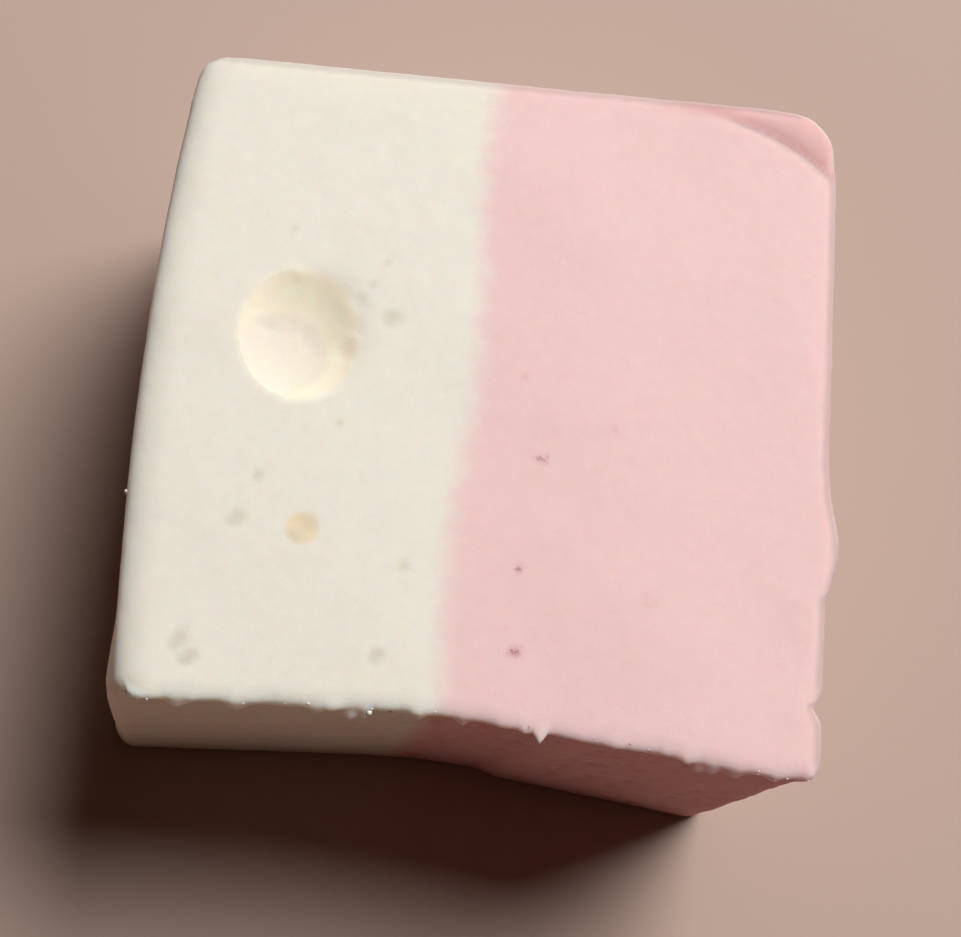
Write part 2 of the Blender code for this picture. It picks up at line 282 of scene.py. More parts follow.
# %% The hollow front
CUT_TOP_HOLLOW = 0.28 * MM
CUT_TOP_MIDDLE_X = -2.2 * MM
CUT_TOP_SLOPES = (0.066, 0.073)
CUT_UNDER_HOLLOW = 1.15 * MM
CUT_UNDER_MIDDLE_X = 0.0 * MM
CUT_UNDER_SLOPES = (0.084, 0.098)
CUT_UNDER_STEP = 0.35 * MM
CUT_UNDER_STEP_X = 4.5 * MM
CUT_UNDER_STEP_WIDTH = 2.0 * MM
CUT_BEND = 3.0 * MM
OVERHANG_BELOW_TOP = 2.5 * MM
OVERHANG_RISE = 2.0 * MM


def hollow_line(x, depth, middle_x, slopes):
    """In by the depth at the bend, and out of the block toward both ends."""
    away = math.hypot(x - middle_x, CUT_BEND) - CUT_BEND
    return depth - slopes[x > middle_x] * away


def front_side(x, z):
    """How far the cut lies inside the plain block. Negative is outside."""
    top = hollow_line(x, CUT_TOP_HOLLOW, CUT_TOP_MIDDLE_X, CUT_TOP_SLOPES)
    under = hollow_line(x, CUT_UNDER_HOLLOW, CUT_UNDER_MIDDLE_X, CUT_UNDER_SLOPES)
    under -= CUT_UNDER_STEP * ease((x - CUT_UNDER_STEP_X) / CUT_UNDER_STEP_WIDTH + 0.5)
    overhang = ease((z - HEIGHT + OVERHANG_BELOW_TOP) / OVERHANG_RISE)
    return under + (top - under) * overhang


print("overhang at the middle:", round((front_side(0, 0) - front_side(0, HEIGHT)) / MM, 2), "mm")

# %% [markdown]
# ## The uneven top
#
# The whole top waves a little, and its corner at the front left is worn off. Both are changes in
# height that fade out toward the underside, which stays flat to rest on. Perlin noise gives the
# waves, because it is smooth and the same on each run. At the back left corner a wide and a narrow
# arc meet in a pinch, so the points there are evened out between their neighbours.

# %% Bend the block into shape
UNEVEN = 0.14 * MM
UNEVEN_LENGTH = 9.0 * MM
WORN_CORNER = Vector((-20.6 * MM, -20.6 * MM, 0.0))
WORN_REACH = 1.8 * MM
WORN_DROP = 0.35 * MM
CORNER_REACH = 1.6 * MM
CORNER_ROUNDS = 14


def shaped(point):
    """Takes a point of the plain block to its place on the marshmallow."""
    x, y, z = with_round_edges(point)
    left_share = clamp((JOIN_X - x) / (HALF_SIDE + JOIN_X), 0.0, 1.0)
    right_share = clamp((x - JOIN_X) / (HALF_SIDE - JOIN_X), 0.0, 1.0)
    back_share = clamp(y / HALF_SIDE, 0.0, 1.0)
    front_share = clamp(-y / HALF_SIDE, 0.0, 1.0)
    moved_x = x - left_side(y, z) * left_share + right_side(y, z) * right_share
    moved_y = y + back_side(x) * back_share + front_side(x, z) * front_share
    wave = noise.noise(Vector((x, y, 0.0)) / UNEVEN_LENGTH)
    worn = bell((Vector((moved_x, moved_y, 0.0)) - WORN_CORNER).length / WORN_REACH)
    sunk = UNEVEN * wave - WORN_DROP * worn
    return Vector((moved_x, moved_y, z + sunk * (z / HEIGHT) ** 3))


for corner in skin.verts:
    corner.co = shaped(corner.co)
back_left = shaped((-HALF_SIDE, HALF_SIDE, HEIGHT))
around = [v for v in skin.verts if (v.co - back_left).length < CORNER_REACH]
for _ in range(CORNER_ROUNDS):
    bmesh.ops.smooth_vert(
        skin, verts=around, factor=0.5, use_axis_x=True, use_axis_y=True, use_axis_z=True
    )
print("highest point:", round(max(v.co.z for v in skin.verts) / MM, 2), "mm")
print("points evened out at the corner:", len(around))

# %% [markdown]
# ## The torn edge
#
# The blade tears the last foam off, so small scraps and teeth stand out along the top of the cut.
# Some catch the light, level with the top. Others hang below it in the shade. They could be loose
# lumps, but real scraps grow out of the foam without a seam, so the skin itself is pulled forward,
# by a bell curve for each scrap and by noise for the ragged line between them. A scrap with a
# negative reach is a gap.

# %% Pull scraps out of the edge
EDGE_DEPTH = 0.45 * MM
EDGE_BAND = 1.6 * MM
EDGE_PULL = 0.05 * MM
# Length and height of the ragged line's waves
RAG_SIZES = ((1.9 * MM, 0.06 * MM), (0.75 * MM, 0.09 * MM), (0.42 * MM, 0.08 * MM))
RAG_DOWN = 0.35
RAG_SLICE = 3.0
# Place along X, reach, width
LIT_SCRAPS = (
    (-18.0 * MM, 0.12 * MM, 1.6 * MM),
    (-10.6 * MM, -0.20 * MM, 2.0 * MM),
    (-7.8 * MM, 0.30 * MM, 0.9 * MM),
    (-5.5 * MM, -0.08 * MM, 0.8 * MM),
    (-4.0 * MM, -0.14 * MM, 0.8 * MM),
    (-3.0 * MM, 0.20 * MM, 0.8 * MM),
    (0.3 * MM, -0.06 * MM, 1.0 * MM),
    (1.9 * MM, 0.16 * MM, 0.9 * MM),
    (3.1 * MM, 0.42 * MM, 0.7 * MM),
    (3.9 * MM, 1.15 * MM, 0.62 * MM),
    (6.2 * MM, 0.14 * MM, 1.6 * MM),
    (8.4 * MM, 0.26 * MM, 1.2 * MM),
    (10.4 * MM, -0.08 * MM, 0.7 * MM),
    (12.4 * MM, 0.28 * MM, 0.9 * MM),
    (18.8 * MM, -0.20 * MM, 1.0 * MM),
)
# Place along X, reach, width, how far below the top
HANGING_SCRAPS = (
    (-16.2 * MM, 0.42 * MM, 1.3 * MM, 0.8 * MM),
    (-13.0 * MM, 0.36 * MM, 1.2 * MM, 0.8 * MM),
    (-8.6 * MM, 0.30 * MM, 1.0 * MM, 0.7 * MM),
    (-6.7 * MM, 0.62 * MM, 1.1 * MM, 0.9 * MM),
    (-5.9 * MM, 0.45 * MM, 0.5 * MM, 0.7 * MM),
    (-2.9 * MM, 0.30 * MM, 0.7 * MM, 0.8 * MM),
    (-0.5 * MM, 0.40 * MM, 0.8 * MM, 0.8 * MM),
    (13.1 * MM, 0.55 * MM, 1.0 * MM, 0.9 * MM),
    (14.0 * MM, 0.50 * MM, 0.9 * MM, 0.8 * MM),
    (15.3 * MM, 0.48 * MM, 1.2 * MM, 0.8 * MM),
    (17.6 * MM, 0.30 * MM, 0.7 * MM, 0.7 * MM),
)
HANG_HALF = 0.75 * MM


def cut_line(x):
    """Where the smooth upper edge of the cut runs."""
    return front_side(x, HEIGHT) - HALF_SIDE


def edge_pull(x, down, behind):
    """How far the foam is pulled forward, at a depth below the top and behind the edge."""
    lit = EDGE_PULL + sum(reach * bell((x - at) / width) for at, reach, width in LIT_SCRAPS)
    for size, height in RAG_SIZES:
        lit += height * noise.noise(Vector((x / size, RAG_DOWN * down / size, RAG_SLICE)))
    pull = lit * math.exp(-((down / EDGE_DEPTH) ** 2))
    for at, reach, width, level in HANGING_SCRAPS:
        pull += reach * bell((x - at) / width) * bell((down - level) / HANG_HALF)
    return pull * ease(1.0 - behind / EDGE_BAND)


for corner in skin.verts:
    down = HEIGHT - corner.co.z
    behind = corner.co.y - cut_line(corner.co.x)
    if behind < EDGE_BAND and down < 3 * HANG_HALF:
        corner.co.y -= edge_pull(corner.co.x, max(down, 0.0), max(behind, 0.0))
print("the longest tooth reaches", round(min(v.co.y for v in skin.verts) / MM, 2), "mm")

# %% [markdown]
# ## The fold
#
# Across the back right corner the foam was pressed into a shallow fold. Its near side drops within
# a millimetre and its far side rises slowly again. A sharp wall would show the grid's steps where
# it runs slantwise through them, so the near side is an S-curve over a few cells, and each of
# these is split along its shorter diagonal, which follows the fold. The groove and its near side,
# which faces the lamp, get painted shade, and a little of it lies on the lip behind.

# %% Press the fold in
FOLD_CENTRE = Vector((11.0 * MM, 6.4 * MM))
FOLD_RADIUS = 14.0 * MM
FOLD_DEPTH = 0.42 * MM
FOLD_FAR = 1.9 * MM
FOLD_NEAR = 0.8 * MM
FOLD_FROM = math.radians(46.0)
FOLD_TO = math.radians(90.0)
FOLD_FADE_RIGHT = math.radians(10.0)
FOLD_FADE_LEFT = math.radians(24.0)
FOLD_FADE_DOWN = 3.0 * MM
CREASE_TO = math.radians(108.0)
CREASE_DARK = 1.1 * MM
CREASE_FAR = 4.5 * MM
LIP_SHARE = 0.42

folded = set()
for corner in skin.verts:
    from_centre = corner.co.xy - FOLD_CENTRE
    angle = math.atan2(from_centre.y, from_centre.x)
    outside = from_centre.length - FOLD_RADIUS
    height = ease(1.0 - (HEIGHT - corner.co.z) / FOLD_FADE_DOWN)
    right = ease((angle - FOLD_FROM) / FOLD_FADE_RIGHT) * height * ease(outside / FOLD_NEAR + 0.5)
    along = right * ease((FOLD_TO - angle) / FOLD_FADE_LEFT)
    # Painted shade: darkest on the near side and in the groove, a little on the lip
    shade_share = right * ease((CREASE_TO - angle) / FOLD_FADE_LEFT)
    if shade_share == 0.0 or outside > CREASE_FAR:
        continue
    dark = LIP_SHARE + (1.0 - LIP_SHARE) * ease(1.0 - outside / CREASE_DARK)
    corner[crease_shade_mark] = shade_share * dark
    corner.co.z -= FOLD_DEPTH * along * clamp(1.0 - outside / FOLD_FAR, 0.0, 1.0) ** 2
    folded.update(corner.link_faces)
bmesh.ops.triangulate(skin, faces=list(folded), quad_method="SHORT_EDGE")
print("faces in the fold:", len(folded))

# %% [markdown]
# ## The big air bubble
#
# A bubble that rose to the top burst and left a shallow bowl. A Boolean with a ball would cut it,
# but it would break the even grid at the rim, where the light plays most. Sinking the grid's own
# points along a parabola keeps the grid. On the left the rim is crisp, so the nearest points are
# moved onto it and the faces there are split the short way. On the right it is rolled over, which
# a smooth maximum of bowl and top gives.

# %% Sink the big bubble
BUBBLE_CENTRE = Vector((-12.28 * MM, 1.55 * MM))
BUBBLE_HALF_SIZE = Vector((3.5 * MM, 4.08 * MM))
BUBBLE_DEPTH = 1.1 * MM
SOFT_TOWARD = Vector((0.97, 0.24))
SOFT_FROM = -0.1
SOFT_SPAN = 0.9
RIM_CRISP = 0.03
RIM_SOFT = 0.45
RIM_BAND = 0.1
RIM_COLOUR_BAND = 0.2
BOWL_REACH = 2.0
JUST_OVER_HALF = 0.52


def half_step(toward):
    """Half of the grid's step across a line that faces the given way."""
    return JUST_OVER_HALF * max(abs(toward.x) * STEP_X, abs(toward.y) * STEP_Y)


def split_along(faces, line):
    """Splits faces the short way, and keeps the shading on the two sides of a line apart."""
    bmesh.ops.triangulate(skin, faces=list(faces), quad_method="SHORT_EDGE")
    for edge in skin.edges:
        if edge.verts[0] in line and edge.verts[1] in line:
            edge.smooth = False


def bowl(x, y, centre, half_size):
    """The share of the way from the middle to the rim, and how soft the rim is there."""
    across = Vector(((x - centre.x) / half_size.x, (y - centre.y) / half_size.y))
    toward = across.normalized().dot(SOFT_TOWARD) if across.length else 0.0
    softness = RIM_CRISP + (RIM_SOFT - RIM_CRISP) * ease((toward - SOFT_FROM) / SOFT_SPAN)
    return across.length, softness


def bowl_depth(share, softness):
    """1 in the middle, and rolled over the rim as far as the softness."""
    deep = 1.0 - share * share
    return (deep + math.hypot(deep, softness)) / 2


rim_line, rim_faces = set(), set()
for corner in top_face:
    share, softness = bowl(corner.co.x, corner.co.y, BUBBLE_CENTRE, BUBBLE_HALF_SIZE)
    if share > BOWL_REACH:
        continue
    if abs(share - 1.0) < RIM_BAND:
        rim_faces.update(corner.link_faces)
    from_centre = corner.co.xy - BUBBLE_CENTRE
    from_rim = from_centre.length * abs(1.0 - 1.0 / share) if share else 1.0
    if from_rim < half_step(from_centre.normalized()) and softness < 2 * RIM_CRISP:
        corner.co.xy = BUBBLE_CENTRE + from_centre / share
        rim_line.add(corner)
    corner.co.z -= BUBBLE_DEPTH * bowl_depth(share, softness)
    # The hollow mark carries painted light that lifts the bowl's shade, and some of its creamier
    # inside
    corner[hollow_mark] = ease((1.0 - share) / RIM_COLOUR_BAND + 0.5)
split_along(rim_faces, rim_line)
print("bubble floor at", round(min(v.co.z for v in top_face) / MM, 2), "mm")

# %% [markdown]
# ## Small bubbles, a dent and shallow pits
#
# A second, small bubble lies in front of the big one, and a dent in the big one's right wall is
# where a neighbour broke through, with a few lumps of torn foam around it. The pits are bubbles
# that stayed just under the surface. All are smooth sinks whose edges fade out, and a lump is a
# negative one. Marks carry painted shade: the small bubble gets a tan, partly painted shade and
# partly the foam's creamier inside, a round patch at the front of the big one, where its wall faces
# the lamp, is made a little darker and cooler, and the pits get a little painted shade.

# %% Sink the small forms
# Place, half width, half length, depth
DENTS = (
    (-9.53 * MM, 0.75 * MM, 0.75 * MM, 0.85 * MM, 0.12 * MM),
    (-9.05 * MM, 4.1 * MM, 0.7 * MM, 0.8 * MM, 0.10 * MM),
    (-14.2 * MM, 1.9 * MM, 0.8 * MM, 0.5 * MM, 0.06 * MM),
    (-9.15 * MM, 1.86 * MM, 0.6 * MM, 0.5 * MM, -0.08 * MM),
    (-9.17 * MM, 0.05 * MM, 0.45 * MM, 0.4 * MM, -0.06 * MM),
    (-12.76 * MM, 5.3 * MM, 0.5 * MM, 0.4 * MM, -0.06 * MM),
)
PITS = (
    (-7.04 * MM, 3.31 * MM, 1.0 * MM, 0.8 * MM, 0.10 * MM),
    (-13.54 * MM, -7.46 * MM, 0.5 * MM, 0.5 * MM, 0.05 * MM),
    (-14.43 * MM, -10.07 * MM, 0.8 * MM, 0.7 * MM, 0.08 * MM),
    (-16.60 * MM, -17.30 * MM, 0.8 * MM, 0.9 * MM, 0.09 * MM),
    (-15.95 * MM, -18.15 * MM, 0.8 * MM, 0.7 * MM, 0.09 * MM),
    (-5.73 * MM, -16.89 * MM, 0.7 * MM, 0.7 * MM, 0.08 * MM),
    (-4.73 * MM, -11.58 * MM, 0.6 * MM, 0.45 * MM, 0.05 * MM),
    (-8.39 * MM, 5.23 * MM, 0.4 * MM, 0.4 * MM, 0.04 * MM),
    (-7.67 * MM, 6.86 * MM, 0.4 * MM, 0.4 * MM, 0.03 * MM),
    (-13.41 * MM, 8.13 * MM, 0.4 * MM, 0.4 * MM, 0.03 * MM),
    (-9.32 * MM, -3.58 * MM, 0.4 * MM, 0.4 * MM, 0.03 * MM),
)
SMALL_BUBBLE = (-10.72 * MM, -10.15 * MM, 1.2 * MM, 1.2 * MM, 0.17 * MM)
CREAM_AND_SHADE_FULL = 3.0
PATCH_CENTRE = Vector((-13.1 * MM, 0.4 * MM))
PATCH_RADIUS = 2.6 * MM
PATCH_SOFT = 0.7 * MM


def sink(corner, x, y, half_width, half_length, depth):
    """Lowers a point in a round hollow and gives its share of the depth."""
    away = math.hypot((corner.co.x - x) / half_width, (corner.co.y - y) / half_length)
    share = max(1.0 - away * away, 0.0) ** 2
    corner.co.z -= depth * share
    return share


for corner in top_face:
    for dent in DENTS:
        sink(corner, *dent)
    for pit in PITS:
        # The pit mark is painted shade in the shallow pits
        corner[pit_shade_mark] = max(corner[pit_shade_mark], sink(corner, *pit))
    # The small bubble's tan is partly painted shade and partly the foam's creamier inside
    inside = sink(corner, *SMALL_BUBBLE)
    corner[cream_and_shade_mark] = ease(CREAM_AND_SHADE_FULL * inside)
    # Painted shade where the big bubble's wall faces the lamp, taking back most of the bowl's
    # painted light
    from_patch = (corner.co.xy - PATCH_CENTRE).length - PATCH_RADIUS
    corner[patch_shade_mark] = ease(0.5 - from_patch / PATCH_SOFT) * corner[hollow_mark]
print("points in pits:", sum(1 for v in top_face if v[pit_shade_mark] > 0.1))

# %% [markdown]
# ## Relief in the foam
#
# Up close the skin is never flat: it swells and sinks over a few millimetres, and the cut is
# rougher than the rest, with the open cells of the foam. Each point moves along its own normal by
# the sum of a few sizes of noise. The Displace modifier could do this too, but the rule here can
# fade the relief out at the underside and make it stronger on the cut. Then two more marks are
# set, now that the normals are known: painted shade on the back and right rims that lean toward
# the lamp, and painted shade on the cut below its torn edge.

# %% Move every point along its normal
RELIEF_SIZES = ((3.1 * MM, 0.030 * MM), (1.1 * MM, 0.014 * MM), (0.6 * MM, 0.007 * MM))
RELIEF_FROM_FOOT = 1.0 * MM
CUT_ROUGHER = 2.6
PORE_SPACING = 1.3 * MM
PORE_SHARE = 0.42
PORE_DEPTH = 0.16 * MM
PORE_OFF_CUT = 0.4
STEEP = 1.4
# Rims that lean this way, toward the lamp, get painted shade
RIM_TOWARD = Vector((0.55, 0.84))
RIM_LEAN = 0.34
RIM_REACH = 5.0 * MM
# The cut, turned away from the lamp, gets painted shade with some of the bare foam's deeper colour
CUT_FACING = 1.4
CUT_FACING_FROM = 0.1
CUT_SHADE_FROM = 0.5 * MM
CUT_SHADE_SOFT = 0.8 * MM


def pore(place):
    """A small round hollow at each scattered centre, 1 at its middle."""
    nearest = noise.voronoi(place / PORE_SPACING)[0][0]
    return ease(1.0 - nearest / PORE_SHARE)


skin.normal_update()
normals = [v.normal.copy() for v in skin.verts]
for corner, normal in zip(skin.verts, normals):
    on_cut = clamp(-normal.y, 0.0, 1.0)
    height = sum(tall * noise.noise(corner.co / size) for size, tall in RELIEF_SIZES)
    height *= 1.0 + (CUT_ROUGHER - 1.0) * on_cut
    on_side = clamp(1.0 - abs(normal.z) * STEEP, 0.0, 1.0)
    open_cells = PORE_OFF_CUT + (1.0 - PORE_OFF_CUT) * on_cut
    height -= PORE_DEPTH * on_side * pore(corner.co) * open_cells
    corner.co += normal * height * ease(corner.co.z / RELIEF_FROM_FOOT)
    corner.co.z = max(corner.co.z, 0.0)
skin.normal_update()
for corner in skin.verts:
    lean = corner.normal.x * RIM_TOWARD.x + corner.normal.y * RIM_TOWARD.y
    near_top = ease(1.0 - (HEIGHT - corner.co.z) / RIM_REACH)
    if corner[hollow_mark] == 0.0:
        corner[rim_shade_mark] = ease(lean / RIM_LEAN) * near_top
    below_edge = ease((HEIGHT - corner.co.z - CUT_SHADE_FROM) / CUT_SHADE_SOFT)
    corner[cut_shade_mark] = ease(-CUT_FACING * corner.normal.y - CUT_FACING_FROM) * below_edge
print("relief up to", round(sum(tall for _, tall in RELIEF_SIZES) / MM, 3), "mm")

# %% [markdown]
# ## Where the dye didn't dissolve
#
# A few grains of dye in the pink foam have spread into small stains. The stain is a mark on the
# skin's points for the colour, and the grains themselves come later, as tiny solid flakes.

# %% Mark the stains
# Place, reach of the stain, how strong
DYE_SPOTS = (
    (2.48 * MM, -4.08 * MM, 0.5 * MM, 0.8),
    (2.80 * MM, -4.12 * MM, 0.45 * MM, 1.0),
    (1.86 * MM, -10.86 * MM, 0.45 * MM, 0.9),
    (1.84 * MM, -15.70 * MM, 0.55 * MM, 0.9),
    (2.16 * MM, -15.66 * MM, 0.55 * MM, 1.0),
    (6.98 * MM, -1.61 * MM, 0.6 * MM, 0.2),
    (1.27 * MM, 0.77 * MM, 0.6 * MM, 0.2),
    (9.5 * MM, -11.9 * MM, 1.1 * MM, 0.15),
)

for corner in top_face:
    for x, y, reach, strength in DYE_SPOTS:
        away = math.hypot(corner.co.x - x, corner.co.y - y) / reach
        corner[dye_mark] = max(corner[dye_mark], strength * bell(away))
surface = BVHTree.FromBMesh(skin)
print("stains:", len(DYE_SPOTS))

# %% [markdown]
# ## From bmesh to an object
#
# The finished points become a mesh with smooth shading. The object stays at the origin, so Object
# coordinates in its material are measured from the middle of the marshmallow's underside. The
# points of the torn edge are kept, as places for the crumbs.

# %% Make the skin's object
EDGE_IN_FRONT = 0.2 * MM
EDGE_BEHIND = 0.3 * MM
EDGE_FROM_TOP = 0.1 * MM
EDGE_TO = 1.5 * MM


def object_from(name, shape, *materials):
    """Makes an object at the origin from a bmesh, shaded smooth, with its materials."""
    for face in shape.faces:
        face.smooth = True
    mesh = bpy.data.meshes.new(name)
    shape.to_mesh(mesh)
    shape.free()
    for material in materials:
        mesh.materials.append(material)
    thing = bpy.data.objects.new(name, mesh)
    bpy.context.scene.collection.objects.link(thing)
    return thing


def on_edge(place):
    """Whether a place lies on the torn edge."""
    in_line = -EDGE_IN_FRONT < place.y - cut_line(place.x) < EDGE_BEHIND
    return in_line and HEIGHT - EDGE_TO < place.z < HEIGHT - EDGE_FROM_TOP


edge_spots = [v.co.copy() for v in skin.verts if on_edge(v.co)]
marshmallow_skin = object_from("marshmallow_skin", skin)
triangles = sum(len(p.vertices) - 2 for p in marshmallow_skin.data.polygons)
print("triangles in the skin:", triangles, "and places for crumbs:", len(edge_spots))

# %% [markdown]
# ## Helpers for node trees
#
# Shader nodes are easier to read as sums. These helpers add a node, link its sockets or set their
# values, and return the output, so that a formula in the code looks like a formula.

# %% Node helpers


def feed(tree, socket, value):
    """Links a socket to an output, or sets its value."""
    if isinstance(value, bpy.types.NodeSocket):
        tree.links.new(value, socket)
    else:
        socket.default_value = value


def calc(tree, operation, *values):
    """A Math node."""
    node = tree.nodes.new("ShaderNodeMath")
    node.operation = operation
    for socket, value in zip(node.inputs, values):
        feed(tree, socket, value)
    return node.outputs[0]


def remap(tree, value, from_low, from_high, to_low, to_high):
    """A Map Range node with soft ends."""
    node = tree.nodes.new("ShaderNodeMapRange")
    node.interpolation_type = "SMOOTHSTEP"
    for socket, number in zip(node.inputs, (value, from_low, from_high, to_low, to_high)):
        feed(tree, socket, number)
    return node.outputs[0]


def mix(tree, share, first, second, blend="MIX"):
    """A Mix node for two colours."""
    node = tree.nodes.new("ShaderNodeMix")
    node.data_type = "RGBA"
    node.blend_type = blend
    feed(tree, node.inputs[0], share)
    feed(tree, node.inputs[6], first)
    feed(tree, node.inputs[7], second)
    return node.outputs[2]


def speckle(tree, place, scale, detail=2.0):
    """The value of a Noise Texture, about 0.5 on average."""
    node = tree.nodes.new("ShaderNodeTexNoise")
    feed(tree, node.inputs["Vector"], place)
    feed(tree, node.inputs["Scale"], scale)
    feed(tree, node.inputs["Detail"], detail)
    return node.outputs[0]


def new_group(name, inputs, outputs):
    """A shader node group with named sockets. Returns the tree, its inputs and its outputs."""
    tree = bpy.data.node_groups.new(name, "ShaderNodeTree")
    for label, kind, default in inputs:
        socket = tree.interface.new_socket(label, in_out="INPUT", socket_type="NodeSocket" + kind)
        if default is not None:
            socket.default_value = default
    for label, kind in outputs:
        tree.interface.new_socket(label, in_out="OUTPUT", socket_type="NodeSocket" + kind)
    start = tree.nodes.new("NodeGroupInput")
    end = tree.nodes.new("NodeGroupOutput")
    return tree, start.outputs, end.inputs


def use_group(tree, group, **values):
    """Places a group in a material. A socket name's spaces are underscores here."""
    node = tree.nodes.new("ShaderNodeGroup")
    node.node_tree = group
    for label, value in values.items():
        feed(tree, node.inputs[label.replace("_", " ")], value)
    return node.outputs


def mark(tree, name):
    """A value that was kept on the mesh's points."""
    node = tree.nodes.new("ShaderNodeAttribute")
    node.attribute_name = name
    return node.outputs["Fac"]


print("node helpers are ready")

# %% [markdown]
# ## Two colours that grow into each other
#
# The white and the pink foam were poured one beside the other, and they mix over about two
# millimetres along a slightly wavy line. The group works out how far a point lies from that wave,
# roughens the distance with noise, and blends the two colours over it. A texture's scale says how
# often it repeats in a metre, so it is written as so many times a millimetre.

# %% The group for the join
PER_MM = 1000.0
RAGS_SCALE = 0.9 * PER_MM

two_colours, given, result = new_group(
    "two_colours",
    (
        ("Place", "Vector", None),
        ("White", "Color", (1.0, 1.0, 1.0, 1.0)),
        ("Pink", "Color", (1.0, 0.5, 0.5, 1.0)),
        ("Width", "Float", 2.0 * MM),
        ("Ragged", "Float", 1.0 * MM),
    ),
    (("Color", "Color"), ("Pinkness", "Float")),
)
apart = two_colours.nodes.new("ShaderNodeSeparateXYZ")
feed(two_colours, apart.inputs[0], given["Place"])
turn = calc(
    two_colours, "MULTIPLY_ADD", apart.outputs[1], 2 * math.pi / JOIN_WAVE_LENGTH,
    -2 * math.pi * JOIN_CREST_Y / JOIN_WAVE_LENGTH,
)
wave = calc(two_colours, "MULTIPLY_ADD", calc(two_colours, "COSINE", turn), JOIN_WAVE, JOIN_X)
rough = calc(two_colours, "SUBTRACT", speckle(two_colours, given["Place"], RAGS_SCALE), 0.5)
rough = calc(two_colours, "MULTIPLY", rough, given["Ragged"])
beside = calc(two_colours, "ADD", calc(two_colours, "SUBTRACT", apart.outputs[0], wave), rough)
share = calc(two_colours, "ADD", calc(two_colours, "DIVIDE", beside, given["Width"]), 0.5)
share = remap(two_colours, share, 0.0, 1.0, 0.0, 1.0)
feed(two_colours, result["Color"], mix(two_colours, share, given["White"], given["Pink"]))
feed(two_colours, result["Pinkness"], share)
print("sockets of the join:", [s.name for s in given if s.name])

# %% [markdown]
# ## Foam and starch
#
# The foam's tone is a little uneven over a millimetre or so, and fine starch lies on it. The group
# has one output for the tone, which multiplies the colour, and one for the height of the grains,
# which a Bump node reads. Both come from noise on Object coordinates, so they need no UV map. A
# third output is the roughness, which goes up and down with the grains.

# %% The group for the foam's surface
CLOUD_SCALE = 0.35 * PER_MM
PATCH_SCALE = 1.2 * PER_MM
GRAIN_SCALE = 5.5 * PER_MM
CLOUD_SHARE = 0.5
TONE_MIDDLE = 0.75
FOAM_ROUGHNESS = 0.84
GRAIN_ROUGHNESS = 0.12

foam_surface, given, result = new_group(
    "foam_surface",
    (
        ("Place", "Vector", None),
        ("Mottle", "Float", 0.04),
        ("Grain", "Float", 0.5),
    ),
    (("Tone", "Float"), ("Height", "Float"), ("Roughness", "Float")),
)
cloud = speckle(foam_surface, given["Place"], CLOUD_SCALE)
patch = speckle(foam_surface, given["Place"], PATCH_SCALE, 3.0)
grain = speckle(foam_surface, given["Place"], GRAIN_SCALE)
tone = calc(foam_surface, "ADD", calc(foam_surface, "MULTIPLY", cloud, CLOUD_SHARE), patch)
tone = calc(foam_surface, "SUBTRACT", tone, TONE_MIDDLE)
tone = calc(foam_surface, "MULTIPLY_ADD", tone, given["Mottle"], 1.0)
height = calc(foam_surface, "MULTIPLY_ADD", grain, given["Grain"], patch)
roughness = calc(foam_surface, "MULTIPLY_ADD", grain, GRAIN_ROUGHNESS, FOAM_ROUGHNESS)
feed(foam_surface, result["Tone"], tone)
feed(foam_surface, result["Height"], height)
feed(foam_surface, result["Roughness"], roughness)
print("sockets of the foam:", [s.name for s in given if s.name])

# %% [markdown]
# ## The marshmallow's material
#
# Sugar foam lets light in and scatters it about a millimetre before it comes out again, which is
# why it looks soft and why its edges glow. The Principled shader's subsurface part does that. The
# two foams and their mottle come first. Then each mark tints its own places: painted light in the
# big bubble's hollow, with some of its creamier inside, taken back by painted shade on the patch
# whose wall faces the lamp; the small bubble's tan, partly painted shade and partly its creamier
# inside; painted shade in the pits, in the fold and on the rims that lean toward the lamp; painted
# shade on the knife's cut, with some of the bare foam's deeper colour; and the stains.

# %% The foam material
WHITE_FOAM = (0.835, 0.805, 0.730, 1.0)
PINK_FOAM = (0.845, 0.620, 0.620, 1.0)
# Painted light in the big bubble's bowl, with some of its creamier inside
BUBBLE_LIGHT_AND_CREAM_TINT = (1.12, 1.06, 0.96, 1.0)
# Painted shade on the big bubble's wall that faces the lamp
PATCH_SHADE_TINT = (0.90, 0.92, 0.97, 1.0)
# Tan in the small bubble: partly painted shade, partly the creamier inside
CREAM_AND_SHADE_TINT = (1.03, 0.94, 0.78, 1.0)
# Painted shade in the pits
PIT_SHADE_TINT = (0.90, 0.88, 0.85, 1.0)
# Painted shade on the knife's cut, with some of the bare foam's deeper colour
WHITE_CUT_SHADE_TINT = (0.95, 0.80, 0.73, 1.0)
PINK_CUT_SHADE_TINT = (0.88, 0.53, 0.52, 1.0)
# Painted shade in the fold's groove and on its lip
CREASE_SHADE_TINT = (0.84, 0.68, 0.68, 1.0)
# Painted shade on the back and right rims that lean toward the lamp
RIM_SHADE_TINT = (0.69, 0.68, 0.67, 1.0)
DYE_TINT = (0.74, 0.55, 0.58, 1.0)
JOIN_WIDTH = 2.2 * MM
JOIN_RAGS = 1.2 * MM
MOTTLE = 0.06
GRAIN = 0.5
GRAIN_HEIGHT = 0.02 * MM
DULL_SHINE = 0.2
STAIN_SCALE = 2.6 * PER_MM
# From low, from high, to low, to high
STAIN_BLOTCH = (0.35, 0.65, 0.35, 1.25)
SCATTER = (1.0, 0.65, 0.45)
FOAM_SOFTNESS = 1.0 * MM


def dye_stain(tree, place):
    """The stain's mark, broken up so that its edge is ragged."""
    blotch = remap(tree, speckle(tree, place, STAIN_SCALE, 3.0), *STAIN_BLOTCH)
    return calc(tree, "MULTIPLY", mark(tree, "dye"), blotch)


